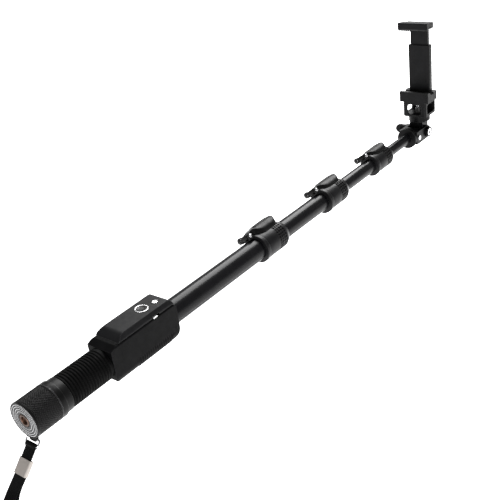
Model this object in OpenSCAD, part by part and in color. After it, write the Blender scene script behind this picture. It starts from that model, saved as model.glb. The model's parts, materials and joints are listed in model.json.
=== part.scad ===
// Hand-held telescopic pole with a wireless shutter remote in its handle and a tilting phone clamp.
// Four nested tubes run along +X from the handle to the clamp; three flip levers lock them.
// The origin is the mouth of the screw socket in the handle's end, and +Z is the remote's side.

/* [Handle] */
// Outer diameter of the knurled end cap
cap_d = 29.4; // [28:0.2:32]
// Length of the knurled end cap
cap_l = 28; // [26:1:30]
// Outer diameter over the ribs of the grip sleeve
grip_d = 27; // [26:0.5:28]
// Distance between two ribs of the grip sleeve
rib_pitch = 2.6; // [2.2:0.1:3]
// Position where the squared housing starts
housing_x = 75; // [74:1:78]
// Position of the housing's front face
housing_front_x = 147.5; // [147:0.5:151]
// Width of the squared housing
housing_w = 26; // [26:0.5:28]
// Depth of the housing's underside below the pole's axis
housing_drop = 17.5; // [16.5:0.5:18]
// Height of the seam between the housing and the remote's cover
seam_z = 16; // [16:0.5:17]
// Height of the remote cover above its seam
cover_h = 4.8; // [4.4:0.1:5]

/* [Remote] */
// Position of the shutter button
shutter_x = 123; // [120:1:124]
// Radius of the shutter button
shutter_r = 4.4; // [4:0.1:5]
// Position of the pairing button
pair_x = 135; // [134:0.5:136]
// Offset of the pairing button from the middle, towards the near side
pair_y = 3; // [0:0.5:3]
// Radius of the pairing button
pair_r = 2.4; // [2:0.1:2.6]
// Position of the middle of the power switch's knob
switch_x = 123.5; // [120:0.5:126]
// Travel of the power switch
switch_travel = 3; // [2:0.5:3]

/* [Telescope] */
// Outer diameters of the four tubes, from the handle to the head
tube_d = [21, 18, 15, 12]; // [12:0.5:22]
// Wall of each tube
tube_wall = 0.6; // [0.5:0.1:0.8]
// Positions of the three lock collars
lock_x = [271, 381, 479]; // [270:1:480]
// Length of each lock collar
lock_l = 37; // [36:0.5:38]
// Rear ends of the three sliding tubes
slider_x = [86, 148, 200]; // [80:1:210]
// Length of the nylon bush on a sliding tube's rear end
bush_l = 28; // [24:1:32]
// Gap between a sliding tube and what guides it
slide_gap = 0.05; // [0.03:0.01:0.08]

/* [Locks] */
// Thickness of each lock collar over the tube it is fixed to
collar_wall = [2.7, 3.4, 3.8]; // [2:0.1:4]
// Lean of the levers from +Z towards +Y, in degrees
lever_lean = 34; // [25:1:36]
// Widest part of a lever
lever_w = 20; // [19:0.5:20.5]
// Rise of each lever's back over its collar
lever_rise = [6.4, 4.9, 4.2]; // [4:0.1:7]
// Radius of the hinge pin of a lever
lever_pin_r = 1.25; // [1.2:0.05:1.3]

/* [Head] */
// Position of the flange of the head socket
head_x = 565; // [563:1:567]
// Distance from the socket flange to the tilt axis
tilt_reach = 30; // [29:1:31]
// Outer width over the two cheeks of the socket
fork_w = 23; // [22:0.5:24]
// Radius of the tilt bolt
tilt_bolt_r = 2.5; // [2.4:0.1:2.6]
// Radius of the quarter-inch screw that carries the clamp
mount_screw_r = 3.15; // [3.1:0.01:3.17]

/* [Clamp] */
// Width of the two jaws
jaw_w = 36; // [34:1:38]
// Height of the lower jaw's seat above the tilt axis
seat_z = 46; // [45:0.5:46]
// Space between the two jaw pads in the resting position
phone_h = 76.6; // [70:0.2:80]
// Space for the phone's thickness
phone_t = 7.7; // [7:0.1:8]

/* [Wrist strap] */
// Width of the webbing
strap_w = 11; // [10:0.5:11]
// Thickness of the webbing
strap_t = 1.2; // [1:0.1:1.3]

/* [Hidden] */
$fn = 64;
eps = 0.01;
// Clearance of a running fit
run_gap = 0.05;

black = [0.05, 0.05, 0.055];
soft_black = [0.09, 0.09, 0.095];
dark_grey = [0.22, 0.22, 0.23];
steel = [0.72, 0.72, 0.74];
brass = [0.72, 0.55, 0.25];

tube_r = [for (d = tube_d) d / 2];
collar_r = [for (i = [0:2]) tube_r[i] + collar_wall[i]];
// How far a tube reaches into the collar at its front end
tube_in_lock = 18;
cap_r = cap_d / 2;
grip_r = grip_d / 2;
// The smooth band between the end cap and the ribs
band_l = 6;
trim_x = [22.5, 23.3];
grip_x = cap_l + band_l;
socket_depth = 10;
bushing_r = 5;
disc_r = 13.4;
tripod_r = 3.2;
// The outer tube's rear end stands on the floor of the end cap
tube_start_x = 12;
plug_l = 3;
cover_z = seam_z + cover_h;
housing_screw_x = [88, 136];
// The groove of the tubes lies this far from +Z towards -Y, in degrees
groove_turn = 112;
cover_front_x = 146;
cover_rear_x = 84;
cover_w = housing_w - 1;
cover_wall = 1.5;
cavity_x = [92, 142];
cavity_w = 19;
cavity_z = 11.5;
board_z = 14;
coin_x = 104;
board_t = 1;
button_travel = 0.6;
switch_z = seam_z + 0.65;
switch_h = 1.1;
switch_slot_h = 1.3;

// Lock hinge, measured from a collar's rear rim and from its surface
hinge_back = 3.5;
hinge_up = 0.7;
hub_r = 2.9;
hub_w = 8;
ear_w = 1.9;
ear_front = 0.9;
rim_rise = 0.5;
lever_l = lock_l - 1;
lever_back_r = 11;
neck_x = 1.6;
brake_x = 18.6;
brake_l = 11;
brake_w = 6;

tilt_x = head_x + tilt_reach;
cheek_t = 3;
cheek_r = 7.4;
block_w = fork_w - 2 * cheek_t - 0.6;
platform_r = 12.3;
platform_z = [13, 19];
pad_z = 19.8;
// The screw that carries the clamp stands a little in front of the tilt axis
screw_x = tilt_x + 3;
// Clamp outline, measured from the tilt axis along X
clamp_rear = 17;
clamp_front = -10;
lip_t = 6.5;
clamp_base_w = 29;
bracket_top_z = 37;
window_z = [22, 34.5];
window_w = 18;
side_window_w = 19;
pad_t = 1;
lip_h = 3;
phone_x = clamp_front + lip_t;
plate_x = phone_x + phone_t;
channel_t = 7.8;
channel_w = 26;
channel_wall = 1.4;
channel_top_z = 100;
channel_floor_z = 40;
tongue_gap = 0.35;
tongue_foot_z = 74;
// How far the tongue reaches into the upper jaw
tongue_in = 1;
spring_r = 2.1;
spring_y = 5;
upper_seat_z = seat_z + phone_h;
upper_top_z = upper_seat_z + 5.4;
clamp_screw_z = 43;

// Wrist strap ring: the hinge bar lies in the lug at the rim of the end cap
ring_wire_r = 0.8;
ring_x = 2.6;
ring_z = -16.4;
ring_drop = 5;
ring_half_w = 6.6;
// The strap hangs a little on the near side
strap_y = -1.6;
strap_lean = 45;
clasp_l = 11.5;
clasp_mid = [-11.6, -31.9];

// The webbing's centre line in X and Z: out of the ring, through the clasp, round the wrist loop
// and back into the clasp
strap_route = [
  [-1.4, -20.4], [-5, -24.3], [-8.2, -27.4], [-12.9, -32], [-17.6, -36.7], [-22.5, -41.2], [-27.5, -45.9],
  [-32.5, -51.4], [-36.6, -58.5], [-39.2, -67], [-40, -76.5], [-39.2, -87], [-37.2, -98],
  [-34.8, -109], [-32.8, -120], [-31.2, -130], [-28.5, -138.5], [-23.5, -145], [-16.5, -148.5],
  [-9, -148], [-2.6, -143.8], [1, -137], [2, -128.5], [0.8, -119], [-2.6, -109], [-7.4, -99],
  [-12.6, -89.5], [-17.8, -80], [-22.2, -71], [-25.4, -62.5], [-26.6, -54.5], [-24.6, -47],
  [-20.6, -41.6], [-16.5, -37.8], [-11.8, -33.1], [-8.3, -29.6]
];

// ---- helpers ----

// Draws a shape that was made in X and Y in the Y and Z directions instead, with its height along X
module along_x() { rotate([90, 0, 90]) children(); }

// Draws a shape that was made in X and Y in the X and Z directions instead, centred across Y
module across_y(width) {
  translate([0, width / 2, 0]) rotate([90, 0, 0]) linear_extrude(width) children();
}

// Stands a cylinder on the X axis
module rod_x(x0, x1, r) { translate([x0, 0, 0]) rotate([0, 90, 0]) cylinder(r = r, h = x1 - x0); }

// Cylinder along Y through the point (x, z)
module rod_y(x, z, y0, y1, r) {
  translate([x, y1, z]) rotate([90, 0, 0]) cylinder(r = r, h = y1 - y0);
}

// Round tube along X
module sleeve_x(x0, x1, r_out, r_in) {
  difference() {
    rod_x(x0, x1, r_out);
    rod_x(x0 - 1, x1 + 1, r_in);
  }
}

// Rectangle with round corners around the centre, drawn without offset so that its arcs are true
module round_rect(w, h, r) {
  square([w - 2 * r, h], center = true);
  square([w, h - 2 * r], center = true);
  for (sx = [-1, 1], sy = [-1, 1])
    translate([sx * (w / 2 - r), sy * (h / 2 - r)]) circle(r = r);
}

// Places its children in the frame of lock i: X from the collar's rear rim, Z towards the lever
module at_lock(i) { translate([lock_x[i], 0, 0]) rotate([-lever_lean, 0, 0]) children(); }

// Hexagonal bar standing along Z
module hex_bar(across_flats, h) { cylinder(d = across_flats / cos(30), h = h, $fn = 6); }

// ---- handle ----

module base_cap() {
  lug_w = 5;
  color(black) difference() {
    union() {
      rod_x(0, cap_l, cap_r);
      rod_x(cap_l - eps, cap_l + band_l, grip_r + 0.3);
      // Lug for the wrist strap's ring
      translate([0, strap_y, 0]) across_y(lug_w) {
        translate([ring_x, ring_z]) circle(r = 2.2);
        translate([ring_x - 2.2, ring_z]) square([4.4, 4]);
      }
    }
    rod_x(-1, 1.2, disc_r + 0.1);
    rod_x(0, tube_start_x + 1, bushing_r + 0.5);
    rod_x(tube_start_x, cap_l + band_l + 1, tube_r[0]);
    rod_y(ring_x, ring_z, strap_y - lug_w, strap_y + lug_w, ring_wire_r + run_gap);
    // Seat of the trim ring
    sleeve_x(trim_x[0], trim_x[1], cap_r + 1, cap_r - 0.8);
  }
}

module base_disc() {
  ring_step = 1.9;
  color(steel) difference() {
    sleeve_x(0.2, 1.2, disc_r, bushing_r + 0.5);
    for (k = [0:2]) sleeve_x(-1, 0.5, 8.4 + k * ring_step, 7.8 + k * ring_step);
  }
}

module tripod_bushing() {
  color(brass) difference() {
    union() {
      rod_x(0, tube_start_x, bushing_r);
      rod_x(4, tube_start_x, bushing_r + 0.5);
    }
    rod_x(-1, socket_depth, tripod_r);
  }
}

module trim_ring() { color(dark_grey) sleeve_x(trim_x[0], trim_x[1], cap_r, cap_r - 0.8); }

module tube_plug() { color(black) rod_x(tube_start_x, tube_start_x + plug_l, tube_r[0] - tube_wall); }

module grip_sleeve() {
  rib_count = floor((housing_x + 4 - grip_x) / rib_pitch);
  rib_l = rib_pitch * 0.62;
  root_r = grip_r - 0.7;
  sleeve_end_x = housing_x + 8;
  color(soft_black) difference() {
    union() {
      rod_x(grip_x, sleeve_end_x, root_r - 0.6);
      rod_x(grip_x, housing_x - 0.2, root_r);
      for (k = [0:rib_count - 3]) {
        x = grip_x + 0.4 + k * rib_pitch;
        rod_x(x, x + rib_l, grip_r);
      }
    }
    rod_x(grip_x - 1, sleeve_end_x + 1, tube_r[0]);
  }
}

// Side outline of the squared housing in X and Z
module housing_side() {
  nose_r = 12;
  heel = 5;
  front_x = housing_front_x;
  polygon([
    [housing_x, -housing_drop + heel], [housing_x + heel, -housing_drop],
    [front_x - nose_r, -housing_drop], [front_x - nose_r, -housing_drop + nose_r],
    [front_x, -housing_drop + nose_r], [front_x, 13], [front_x - 3, seam_z],
    [housing_x + 6, seam_z], [housing_x, 13]
  ]);
  translate([front_x - nose_r, -housing_drop + nose_r]) circle(r = nose_r);
}

module remote_housing() {
  color(black) difference() {
    intersection() {
      across_y(housing_w + 2) housing_side();
      translate([housing_x - 1, 0, 0]) along_x() linear_extrude(housing_front_x - housing_x + 2)
        housing_outline();
    }
    rod_x(housing_x - 1, housing_front_x + 1, tube_r[0]);
    // Socket over the end of the grip sleeve
    rod_x(housing_x - 1, housing_x + 8, grip_r - 1.3);
    // Compartment of the remote
    translate([cavity_x[0], -cavity_w / 2, cavity_z])
      cube([cavity_x[1] - cavity_x[0], cavity_w, seam_z - cavity_z + 1]);
    housing_screw_holes();
  }
}

// Cross-section of the housing in Y and Z: small arcs on top, large arcs below
module housing_outline() {
  low_r = 8;
  top_r = 2;
  w = housing_w;
  translate([-w / 2, -housing_drop + low_r]) square([w, seam_z + housing_drop - low_r - top_r]);
  translate([-w / 2 + low_r, -housing_drop]) square([w - 2 * low_r, low_r + 1]);
  translate([-w / 2 + top_r, seam_z - top_r - 1]) square([w - 2 * top_r, top_r + 1]);
  for (side = [-1, 1]) {
    translate([side * (w / 2 - low_r), -housing_drop + low_r]) circle(r = low_r);
    translate([side * (w / 2 - top_r), seam_z - top_r]) circle(r = top_r);
  }
}

module housing_screw_holes() {
  for (x = housing_screw_x) translate([x, 0, -housing_drop - 1]) cylinder(r = 2.3, h = 6);
}

module housing_screws() {
  head_sink = 1;
  color(steel) for (x = housing_screw_x) translate([x, 0, -housing_drop + head_sink]) difference() {
    cylinder(r = 2.25, h = 4);
    translate([0, 0, -eps]) cube([3, 0.7, 1.4], center = true);
    translate([0, 0, -eps]) cube([0.7, 3, 1.4], center = true);
  }
}

module remote_tray() {
  tray_wall = 1;
  x0 = cavity_x[0] + 0.1;
  w = cavity_w - 0.2;
  l = cavity_x[1] - cavity_x[0] - 0.2;
  color(dark_grey) difference() {
    translate([x0, -w / 2, cavity_z]) cube([l, w, board_z - cavity_z + board_t]);
    translate([x0 + tray_wall, -w / 2 + tray_wall, cavity_z + 0.5])
      cube([l - 2 * tray_wall, w - 2 * tray_wall, 10]);
  }
}

module circuit_board() {
  x0 = cavity_x[0] + 1.3;
  w = cavity_w - 2.6;
  chip_w = 5;
  color("darkgreen") {
    translate([x0, -w / 2, board_z]) cube([cavity_x[1] - cavity_x[0] - 2.6, w, board_t]);
    for (at = [[shutter_x, 0], [pair_x, -pair_y]])
      translate([at[0], at[1], board_z + board_t - eps]) cylinder(r = 1.5, h = 0.6);
    translate([coin_x, 0, board_z + board_t - eps]) linear_extrude(0.8) square(chip_w, center = true);
  }
}

module coin_cell() {
  color(steel) translate([coin_x, 0, cavity_z + 0.5]) cylinder(r = 8, h = 1.6);
}

// Side outline of the remote's cover in X and Z
module cover_side() {
  polygon([
    [cover_rear_x, seam_z], [cover_rear_x + 5, cover_z - 0.6], [cover_rear_x + 9, cover_z],
    [cover_front_x - 5, cover_z], [cover_front_x - 2.2, cover_z - 0.9], [cover_front_x, seam_z]
  ]);
}

// Cross-section of the cover in Y and Z, with sloping upper edges
module cover_outline() {
  slope = 2.2;
  polygon([
    [-cover_w / 2, seam_z - 1], [-cover_w / 2, seam_z + 1.6], [-cover_w / 2 + slope, cover_z],
    [cover_w / 2 - slope, cover_z], [cover_w / 2, seam_z + 1.6], [cover_w / 2, seam_z - 1]
  ]);
}

module remote_cover() {
  inner_w = cover_w - 2 * cover_wall - 1;
  color(black) difference() {
    intersection() {
      across_y(cover_w + 2) cover_side();
      translate([cover_rear_x - 1, 0, 0]) along_x() linear_extrude(cover_front_x - cover_rear_x + 2)
        cover_outline();
    }
    translate([cover_rear_x + 7, -inner_w / 2, seam_z - 1])
      cube([cover_front_x - cover_rear_x - 11, inner_w, cover_h - cover_wall + 1]);
    translate([shutter_x, 0, seam_z]) cylinder(r = shutter_r + 0.1, h = cover_h + 1);
    translate([pair_x, -pair_y, seam_z]) cylinder(r = pair_r + 0.1, h = cover_h + 1);
    // Slot of the power switch
    translate([switch_x - 2.8, -cover_w / 2 - 1, seam_z - 1])
      cube([5.6 + switch_travel, 5, 1 + switch_slot_h]);
    // Seat of the bright ring
    translate([shutter_x, 0, cover_z - 0.4]) cylinder(r = shutter_r + 1.2, h = 1);
  }
}

module shutter_ring() {
  color(steel) translate([shutter_x, 0, cover_z - 0.4]) difference() {
    cylinder(r = shutter_r + 1.2, h = 0.8);
    translate([0, 0, -1]) cylinder(r = shutter_r + 0.2, h = 3);
  }
}

// Push button with a guided cap, a flange that keeps it in and a stem over its switch
module push_button(x, y, r, rise) {
  flange_z = cover_z - cover_wall - 0.1 - 0.7;
  translate([x, y, 0]) {
    translate([0, 0, flange_z]) cylinder(r = r, h = cover_z + rise - flange_z);
    translate([0, 0, flange_z]) cylinder(r = r + 0.8, h = 0.6);
    translate([0, 0, board_z + board_t + 0.6 + button_travel + 0.1]) cylinder(r = 1.2, h = 2.2);
  }
}

module shutter_button() { color(dark_grey) push_button(shutter_x, 0, shutter_r, 0.7); }

module pair_button() { color(steel) push_button(pair_x, -pair_y, pair_r, 0.6); }

module power_switch() {
  knob_l = 4.4;
  wall_y = -housing_w / 2;
  color(steel) {
    translate([switch_x - knob_l / 2, wall_y - 0.8, switch_z - switch_h / 2]) cube([knob_l, 3.8, switch_h]);
    translate([switch_x - knob_l / 2 + 0.6, wall_y + 2.9, switch_z - switch_h / 2])
      cube([knob_l - 1.2, 1.6, switch_h]);
  }
}

// ---- telescope ----

// One tube of the telescope with the guide groove along its near side
module pole_tube(i, x0, x1) {
  groove_r = 1.6;
  groove_depth = 0.35;
  color(black) difference() {
    sleeve_x(x0, x1, tube_r[i], tube_r[i] - tube_wall);
    rotate([groove_turn, 0, 0]) translate([x0 - 1, 0, tube_r[i] + groove_r - groove_depth])
      rotate([0, 90, 0]) cylinder(r = groove_r, h = x1 - x0 + 2);
  }
}

function tube_end_x(i) = lock_x[i] + tube_in_lock;

module outer_tube() { pole_tube(0, tube_start_x, tube_end_x(0)); }
module second_tube() { pole_tube(1, slider_x[0], tube_end_x(1)); }
module third_tube() { pole_tube(2, slider_x[1], tube_end_x(2)); }
module inner_tube() { pole_tube(3, slider_x[2], head_x + 12); }

// Nylon sleeve on the rear end of sliding tube i, guided by the bore of the tube around it
module tube_bush(i) {
  color(soft_black) sleeve_x(slider_x[i - 1], slider_x[i - 1] + bush_l,
                             tube_r[i - 1] - tube_wall - slide_gap, tube_r[i]);
}

module second_tube_bush() { tube_bush(1); }
module third_tube_bush() { tube_bush(2); }
module inner_tube_bush() { tube_bush(3); }

// ---- locks ----

module lock_collar(i) {
  r = collar_r[i];
  ear_y = hub_w / 2 + 0.3;
  ear_r = 2.5;
  shoulder_l = 5;
  color(black) at_lock(i) difference() {
    union() {
      rod_x(0, lock_l - shoulder_l, r);
      rod_x(0, 4, r + rim_rise);
      // Sloping front shoulder
      translate([lock_l - shoulder_l, 0, 0]) rotate([0, 90, 0])
        cylinder(r1 = r, r2 = r - 2, h = shoulder_l);
      // Ears of the lever's hinge
      for (side = [-1, 1]) translate([0, side * (ear_y + ear_w / 2), 0]) across_y(ear_w) {
        translate([-hinge_back, r + hinge_up]) circle(r = ear_r);
        translate([-hinge_back - ear_r, r - 3]) square([hinge_back + ear_r + ear_front, hinge_up + 3]);
      }
    }
    rod_x(-10, tube_in_lock, tube_r[i]);
    rod_x(0, lock_l + 1, tube_r[i + 1] + slide_gap);
    rod_y(-hinge_back, r + hinge_up, -10, 10, lever_pin_r);
    // Window of the brake shoe
    translate([brake_x, -brake_w / 2, 0]) cube([brake_l, brake_w, r + 2]);
  }
}

module lock_1_collar() { lock_collar(0); }
module lock_2_collar() { lock_collar(1); }
module lock_3_collar() { lock_collar(2); }

module lock_brake(i) {
  play = 0.1;
  color(dark_grey) at_lock(i) difference() {
    translate([brake_x + play, -brake_w / 2 + play, 2])
      cube([brake_l - 2 * play, brake_w - 2 * play, collar_r[i] - 2.3]);
    rod_x(0, lock_l, tube_r[i + 1] + slide_gap);
  }
}

module lock_1_brake() { lock_brake(0); }
module lock_2_brake() { lock_brake(1); }
module lock_3_brake() { lock_brake(2); }

// Outline of a lever from above: narrow hub, wide leaf, rounded tip
module lever_plan() {
  half = lever_w / 2;
  polygon([
    [-hinge_back - hub_r, -hub_w / 2], [neck_x, -hub_w / 2], [7, 1.4 - half], [13, -half],
    [lever_l - half, -half], [lever_l - half, half],
    [13, half], [7, half - 1.4], [neck_x, hub_w / 2], [-hinge_back - hub_r, hub_w / 2]
  ]);
  translate([lever_l - half, 0]) circle(r = half);
}

// Outline of a lever from the side, X from the collar's rim and Z from the pole's axis
module lever_side(r, rise) {
  crown = [[0, 0.7], [8, 0.82], [18, 1], [30, 0.97], [lever_l, 0.76]];
  polygon(concat(
    [[-hinge_back, r + hinge_up + hub_r], [-hinge_back, r + hinge_up],
     [neck_x, r + hinge_up], [neck_x, r - 8], [lever_l, r - 8]],
    [for (k = [len(crown) - 1:-1:0]) [crown[k][0], r + rise * crown[k][1]]]
  ));
  translate([-hinge_back, r + hinge_up]) circle(r = hub_r);
}

module lock_lever(i) {
  r = collar_r[i];
  color(black) at_lock(i) difference() {
    intersection() {
      linear_extrude(2 * r) lever_plan();
      across_y(lever_w + 2) lever_side(r, lever_rise[i]);
      // Rounded back
      translate([0, 0, r + lever_rise[i] - lever_back_r]) rod_x(-10, lever_l + 1, lever_back_r);
    }
    rod_y(-hinge_back, r + hinge_up, -10, 10, lever_pin_r + run_gap);
    // Hollow underside that follows the collar
    rod_x(-0.4, lever_l + 5, r + rim_rise + 0.3);
    // Finger hollow under the tip
    rod_y(lever_l + 1, r + 1, -lever_w, lever_w, 2.4);
  }
}

module lock_1_lever() { lock_lever(0); }
module lock_2_lever() { lock_lever(1); }
module lock_3_lever() { lock_lever(2); }

// Hinge pin with a round head on one side and a thumb nut on the other
module lock_pin(i) {
  half = hub_w / 2 + 0.3 + ear_w;
  z = collar_r[i] + hinge_up;
  color(steel) at_lock(i) {
    rod_y(-hinge_back, z, -half - 0.8, half + 3.8, lever_pin_r);
    rod_y(-hinge_back, z, -half - 1.2, -half, 2.3);
    rod_y(-hinge_back, z, half, half + 0.5, 2.4);
    rod_y(-hinge_back, z, half + 0.5, half + 4.2, 3.3);
  }
}

module lock_1_pin() { lock_pin(0); }
module lock_2_pin() { lock_pin(1); }
module lock_3_pin() { lock_pin(2); }

// ---- head ----

module head_socket() {
  cheek_y = fork_w / 2 - cheek_t / 2;
  body_end = 18;
  color(black) difference() {
    union() {
      rod_x(head_x, head_x + 4, 11.6);
      intersection() {
        rod_x(head_x + 3, head_x + body_end, fork_w / 2);
        translate([head_x, -fork_w / 2, -cheek_r]) cube([body_end, fork_w, 2 * cheek_r]);
      }
      for (side = [-1, 1]) translate([0, side * cheek_y, 0]) across_y(cheek_t) {
        translate([tilt_x, 0]) circle(r = cheek_r);
        translate([head_x + 4, -cheek_r]) square([tilt_reach - 4, 2 * cheek_r]);
      }
    }
    rod_x(head_x - 1, head_x + 12, tube_r[3]);
    rod_y(tilt_x, 0, -20, 20, tilt_bolt_r);
    rod_y(head_x + 8.5, 0, -fork_w / 2 - 1, -6.2, 1.6);
  }
}

module socket_screw() {
  x = head_x + 8.5;
  color(steel) {
    rod_y(x, 0, -fork_w / 2 - 1.3, -fork_w / 2, 2.75);
    rod_y(x, 0, -fork_w / 2 - 0.2, -6.2, 1.6);
  }
}

module tilt_bolt() {
  head_y = -fork_w / 2 - 3;
  color(steel) difference() {
    union() {
      rod_y(tilt_x, 0, head_y, -fork_w / 2, 4.7);
      rod_y(tilt_x, 0, -fork_w / 2 - 0.5, fork_w / 2 + 9, tilt_bolt_r);
    }
    // Hexagon recess in the head
    translate([tilt_x, head_y + 1.5, 0]) rotate([90, 0, 0]) hex_bar(4, 5);
  }
}

module wing_knob() {
  y0 = fork_w / 2 + 0.3;
  tip_y = 29;
  color(black) difference() {
    union() {
      rod_y(tilt_x, 0, y0, y0 + 4, 6);
      rod_y(tilt_x, 0, y0 + 3.5, y0 + 11, 4.2);
      // Two-sided thumb paddle
      translate([tilt_x, 0, 0]) rotate([0, 90, 0]) translate([0, 0, -2]) linear_extrude(4) {
        translate([-5, y0 + 4]) square([10, tip_y - y0 - 9]);
        translate([0, tip_y - 5]) circle(r = 5);
      }
    }
    rod_y(tilt_x, 0, y0 - 1, fork_w / 2 + 9.5, tilt_bolt_r + run_gap);
  }
}

module tilt_block() {
  neck = 6;
  slope_h = 2;
  color(black) difference() {
    union() {
      rod_y(tilt_x, 0, -block_w / 2, block_w / 2, cheek_r);
      translate([tilt_x - neck, -block_w / 2, 0]) cube([2 * neck + 2, block_w, platform_z[0] + 1]);
      translate([screw_x, 0, platform_z[0] - slope_h])
        cylinder(r1 = platform_r - 3, r2 = platform_r, h = slope_h + eps);
      translate([screw_x, 0, platform_z[0]]) cylinder(r = platform_r, h = platform_z[1] - platform_z[0]);
    }
    rod_y(tilt_x, 0, -20, 20, tilt_bolt_r + run_gap);
    translate([screw_x, 0, 8]) cylinder(r = mount_screw_r, h = 20);
  }
}

module platform_pad() {
  color(soft_black) translate([screw_x, 0, platform_z[1]]) difference() {
    cylinder(r = platform_r - 0.3, h = pad_z - platform_z[1]);
    translate([0, 0, -1]) cylinder(r = 5, h = 5);
  }
}

module mount_screw() {
  color(steel) translate([screw_x, 0, 8]) {
    cylinder(r = mount_screw_r, h = 23);
    translate([0, 0, 23 - eps]) cylinder(r1 = mount_screw_r, r2 = 2.4, h = 1.2);
  }
}

// Knurled nut that clamps the bracket's floor on the screw
module lock_nut() {
  color(black) translate([screw_x, 0, window_z[0]]) difference() {
    union() {
      cylinder(r = 5.2, h = 2.4);
      cylinder(r = 4, h = 6);
    }
    translate([0, 0, -1]) cylinder(r = mount_screw_r + run_gap, h = 10);
  }
}

// ---- clamp ----

// Hollow of the bracket around the lock nut, open through rounded windows in front and on both sides
module bracket_window() {
  wall = 2;
  mid_x = tilt_x + (clamp_front + clamp_rear) / 2;
  mid_z = (window_z[0] + window_z[1]) / 2;
  h = window_z[1] - window_z[0];
  l = clamp_rear - clamp_front - 2 * wall;
  translate([mid_x - l / 2, wall - clamp_base_w / 2, window_z[0]]) cube([l, clamp_base_w - 2 * wall, h]);
  translate([tilt_x + clamp_front - 1, 0, mid_z]) along_x() linear_extrude(l / 2) round_rect(window_w, h, 4);
  translate([mid_x, 0, mid_z]) across_y(clamp_base_w + 2) round_rect(side_window_w, h - 1, 3);
}

// Front lip and seat outline of the lower jaw in X (from the tilt axis) and Z
module lower_jaw_side() {
  lip_top = seat_z + pad_t + lip_h - 1;
  polygon([
    [clamp_front, bracket_top_z], [clamp_front, lip_top], [clamp_front + 3.5, lip_top],
    [phone_x, seat_z + 0.5], [phone_x, seat_z - pad_t], [plate_x, seat_z - pad_t],
    [plate_x, seat_z + 1], [plate_x + channel_t, seat_z + 1], [plate_x + channel_t, bracket_top_z]
  ]);
}

module clamp_base() {
  color(black) difference() {
    union() {
      translate([tilt_x + (clamp_front + clamp_rear) / 2, 0, pad_z])
        linear_extrude(bracket_top_z - pad_z + eps)
          round_rect(clamp_rear - clamp_front, clamp_base_w, 3);
      translate([tilt_x, 0, 0]) across_y(jaw_w) lower_jaw_side();
    }
    bracket_window();
    translate([screw_x, 0, pad_z - 1]) cylinder(r = mount_screw_r + run_gap, h = 10);
    // Well of the springs and the tongue
    tongue_well();
    clamp_screw_holes();
  }
}

module tongue_well() {
  translate([tilt_x + plate_x + channel_wall, -channel_w / 2 + 2, channel_floor_z])
    cube([channel_t - 2 * channel_wall, channel_w - 4, channel_top_z]);
}

module lower_pad() { color(soft_black) jaw_pad(seat_z - pad_t); }

// Rubber pad with ribs across the phone's edge
module jaw_pad(z) {
  translate([tilt_x + phone_x, -jaw_w / 2 + 1, z]) cube([phone_t, jaw_w - 2, pad_t]);
}

module back_channel() {
  x0 = tilt_x + plate_x;
  z0 = seat_z + 1;
  color(black) difference() {
    translate([x0 + channel_t / 2, 0, z0]) linear_extrude(channel_top_z - z0)
      round_rect(channel_t, channel_w, 1.5);
    tongue_well();
    clamp_screw_holes();
  }
}

module clamp_screw_holes() {
  for (y = [-15, 15]) translate([tilt_x + plate_x + channel_t + 1, y, clamp_screw_z])
    rotate([0, -90, 0]) cylinder(r = 1.2, h = 6);
}

module clamp_screws() {
  color(steel) for (y = [-15, 15]) translate([tilt_x + plate_x + channel_t, y, clamp_screw_z]) {
    rotate([0, -90, 0]) cylinder(r = 1.2, h = 5);
    rotate([0, 90, 0]) cylinder(r = 2, h = 0.8);
  }
}

// Pair of extension springs, drawn as their outer sleeves
module jaw_springs() {
  x = tilt_x + plate_x + channel_t / 2;
  color(steel) for (y = [-spring_y, spring_y]) translate([x, y, channel_floor_z + 0.2]) difference() {
    cylinder(r = spring_r, h = tongue_foot_z - channel_floor_z - 0.4);
    translate([0, 0, -1]) cylinder(r = spring_r - 0.6, h = 60);
  }
}

// Side outline of the upper jaw in X (from the tilt axis) and Z
module upper_jaw_side() {
  lip_foot = upper_seat_z - lip_h;
  rear_drop = 3;
  rear_foot = upper_seat_z - 4;
  rear_x = plate_x + channel_t;
  polygon([
    [clamp_front + 1.2, lip_foot], [clamp_front, lip_foot + 1.5], [clamp_front, upper_top_z - 1],
    [clamp_front + 1, upper_top_z], [rear_x - 1, upper_top_z - rear_drop],
    [rear_x, upper_top_z - rear_drop - 1], [rear_x, rear_foot], [plate_x, rear_foot],
    [plate_x, upper_seat_z + pad_t], [phone_x, upper_seat_z + pad_t],
    [phone_x, upper_seat_z - 0.5], [clamp_front + 3.5, lip_foot]
  ]);
}

module upper_jaw() {
  slot_w = channel_w - 4 - 2 * tongue_gap;
  color(black) difference() {
    translate([tilt_x, 0, 0]) across_y(jaw_w) upper_jaw_side();
    // The rear block is narrower than the lip
    for (side = [-1, 1]) translate([tilt_x + plate_x - 0.5, side * (jaw_w / 2 + 1), upper_seat_z - 5])
      translate([0, -4, 0]) cube([20, 8, 20]);
    // Seat of the tongue
    translate([tilt_x + plate_x + channel_wall + tongue_gap, -slot_w / 2, upper_seat_z - 5])
      cube([channel_t - 2 * channel_wall - 2 * tongue_gap, slot_w, 5 + tongue_in]);
  }
}

module upper_pad() { color(soft_black) jaw_pad(upper_seat_z); }

module jaw_tongue() {
  w = channel_w - 4 - 2 * tongue_gap;
  color(dark_grey) translate([tilt_x + plate_x + channel_wall + tongue_gap, -w / 2, tongue_foot_z])
    cube([channel_t - 2 * channel_wall - 2 * tongue_gap, w, upper_seat_z + tongue_in - tongue_foot_z]);
}

// ---- wrist strap ----

// Places its children at the ring's hinge, with -Z along the hanging strap
module at_ring() { translate([ring_x, strap_y, ring_z]) rotate([0, strap_lean, 0]) children(); }

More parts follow.
